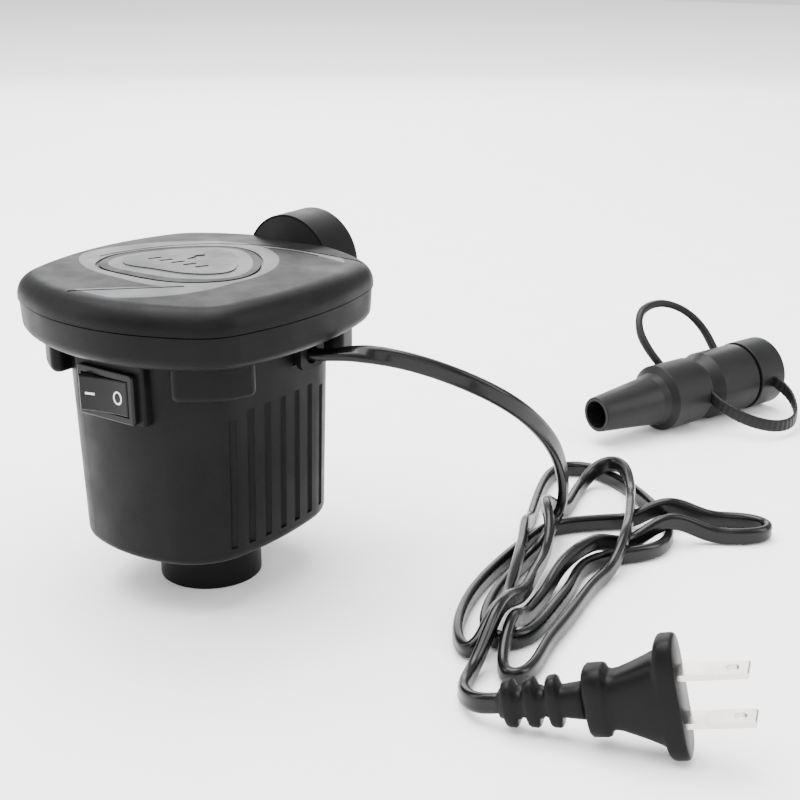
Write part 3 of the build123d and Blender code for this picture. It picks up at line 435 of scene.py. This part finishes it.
# stepped strain relief: rings as (along, thick, tall), the ribs growing towards the plug
RELIEF_RIBS, RELIEF_PITCH, RELIEF_GROWTH = 3, 5.7, 0.5
RELIEF_LAP, RELIEF_SQUARE = 0.4, 2.8
relief_rings = []
for k in range(RELIEF_RIBS):
    base = RELIEF_PITCH * k
    grow = RELIEF_GROWTH * k
    for along, thick, tall in [
            (0.0, 6.2, 7.0), (0.9, 6.6, 7.6), (1.3, 7.2, 11.4 + grow), (1.9, 7.6, 12.2 + grow),
            (3.4, 7.7, 12.6 + grow), (4.0, 7.3, 11.8 + grow), (4.4, 6.7, 8.2), (5.2, 6.6, 8.0)]:
        relief_rings.append(plug_ring(base + along - RELIEF_LAP, thick, tall, RELIEF_SQUARE))
for along, thick, tall in [(17.4, 6.8, 8.4), (19.5, 7.0, 9.0), (21.8, 7.2, 9.6)]:
    relief_rings.append(plug_ring(along, thick, tall, RELIEF_SQUARE))
relief = skin("strain_relief_ribs", relief_rings, FINISHES["plug_vinyl"])
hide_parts("strain_relief")
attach(relief, "housing")

body_rings = [plug_ring(*ring) for ring in [
    (21.6, 8.2, 14.6), (21.9, 9.8, 16.8), (22.6, 10.9, 18.0), (26.2, 11.0, 18.2), (27.0, 10.8, 17.6),
    (27.5, 10.4, 15.0), (28.4, 10.3, 14.4), (30.0, 10.5, 15.0), (33.0, 11.2, 17.4), (36.5, 12.2, 20.4),
    (39.0, 12.9, 22.9), (39.9, 13.0, 24.2), (40.3, 13.1, 29.6), (40.9, 13.2, 31.2), (41.6, 13.3, 31.8),
    (44.0, 13.3, 31.9), (44.7, 13.0, 31.5), (45.0, 12.2, 30.6)]]
plug = skin("plug_moulding", body_rings, FINISHES["plug_vinyl"])
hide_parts("plug_body")
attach(plug, "housing")

# ------------------------------------------------------------------ marks on the rocker
ROCKER_PIVOT = np.array((0, -36.5, 67.4))
ROCKER_REST = math.radians(9)
ROCKER_FACE, ROCKER_SAG, ROCKER_HALF = 3.9, 0.7, 8.2
MARK_LIFTS = (-0.05, 0.05)


def on_rocker(x, z, lift):
    """Point on the rocker's dished face, in metres."""
    y = -(ROCKER_FACE - ROCKER_SAG * (1 - (x / ROCKER_HALF) ** 2)) - lift
    c, s = math.cos(ROCKER_REST), math.sin(ROCKER_REST)
    return (ROCKER_PIVOT + np.array((x * c - y * s, x * s + y * c, z))) * MM


def rocker_mark(name, outline, hole=()):
    """Thin printed mark standing off the rocker's face."""
    points, faces = [], []
    if hole:
        count = len(outline)
        for lift in MARK_LIFTS:
            points += [on_rocker(x, z, lift) for x, z in outline]
            points += [on_rocker(x, z, lift) for x, z in hole]
        for k in range(count):
            m = (k + 1) % count
            for a, b, c, d in [(k, m, count + m, count + k),
                               (2 * count + k, 2 * count + m, 3 * count + m, 3 * count + k),
                               (k, m, 2 * count + m, 2 * count + k),
                               (count + k, count + m, 3 * count + m, 3 * count + k)]:
                faces.append((a, b, c, d))
        mark = mesh_object(name, points, faces, MARK_WHITE)
    else:
        mark = skin(name, [[on_rocker(x, z, lift) for x, z in outline] for lift in MARK_LIFTS], MARK_WHITE)
    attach(mark, "rocker")
    return mark


def oval(x, z, across, tall, count=32):
    """Ellipse outline."""
    angles = [2 * math.pi * k / count for k in range(count)]
    return [(x + 0.5 * across * math.cos(a), z + 0.5 * tall * math.sin(a)) for a in angles]


rocker_mark("mark_on", [(-6.2, -0.32), (-3.2, -0.32), (-3.2, 0.32), (-6.2, 0.32)])
rocker_mark("mark_off", oval(4.6, 0, 3.1, 3.9), oval(4.6, 0, 2.1, 2.9))

# ------------------------------------------------------------------ tethers between the nozzles
ADAPTER_TIP = np.array((48.4, 163.2, 12.42))
ADAPTER_YAW, ADAPTER_RISE = math.radians(70), math.radians(0.87)
adapter_way = np.array((math.cos(ADAPTER_RISE) * math.cos(ADAPTER_YAW),
                        math.cos(ADAPTER_RISE) * math.sin(ADAPTER_YAW), math.sin(ADAPTER_RISE)))
adapter_left = np.array((-math.sin(ADAPTER_YAW), math.cos(ADAPTER_YAW), 0))
adapter_up = np.cross(adapter_way, adapter_left)


def beside_adapters(along, left, up):
    """Point by the nozzles, in metres: from the tip, out to the left, above the axis."""
    return (ADAPTER_TIP + adapter_way * along + adapter_left * left + adapter_up * up) * MM


STRAP_STEP, STRAP_AROUND, STRAP_SQUARE = 0.0006, 16, 0.6


def strap(name, points, wide, thick, material, ribs=0.0):
    """Loose loop of strap with its width standing up, ribbed across if asked."""
    run = evenly(rounded_off([beside_adapters(*p) for p in points], 4), STRAP_STEP)
    way = tangents_of(run)
    rings = []
    for i, (p, t) in enumerate(zip(run, way)):
        up = unit(adapter_up - t * np.dot(adapter_up, t))
        out = np.cross(t, up)
        rib = 1 - ribs * (i % 4 in (0, 1))
        ring = []
        for k in range(STRAP_AROUND):
            angle = 2 * math.pi * k / STRAP_AROUND
            c, s = math.cos(angle), math.sin(angle)
            ring.append(p + up * 0.5 * wide * MM * math.copysign(abs(c) ** STRAP_SQUARE, c)
                        + out * 0.5 * thick * rib * MM * math.copysign(abs(s) ** STRAP_SQUARE, s))
        rings.append(ring)
    return skin(name, rings, material)


TETHER_LEAN = math.radians(52)
small_loop = strap("small_tether_loop",
                   [(s, reach * math.cos(TETHER_LEAN), reach * math.sin(TETHER_LEAN)) for s, reach in
                    [(41, 12.2), (38.3, 20), (37.8, 28), (42, 35.5), (50, 38), (58.5, 37), (67, 31.5),
                     (71.5, 23), (72, 13.2)]], 2.9, 2.9, FINISHES["tether_rubber"])
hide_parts("tether_small")
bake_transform(small_loop)
medium_loop = strap("medium_tether_loop",
                    [(50.5, -10.8, 0), (49.3, -18, -2), (52.5, -27.5, -5.5), (61, -33.8, -8.5),
                     (71, -34.8, -9.3), (80.5, -29.5, -8.3), (85.8, -21.5, -4), (85, -13.6, 0)], 4.8, 1.6,
                    FINISHES["tether_rubber"], ribs=0.25)
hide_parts("tether_medium")
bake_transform(medium_loop)

# ------------------------------------------------------------------ floor
FLOOR_HALF, FLOOR_LEVEL = 3.0, -0.0002
floor_corners = [(x * FLOOR_HALF, y * FLOOR_HALF, FLOOR_LEVEL)
                 for x, y in [(-1, -1), (1, -1), (1, 1), (-1, 1)]]
floor_paper = finish_of("floor_paper", (0.95, 0.95, 0.95), 0.85, bump=0.0, wear=0.02)
floor = mesh_object("floor", floor_corners, [(0, 1, 2, 3)], floor_paper)
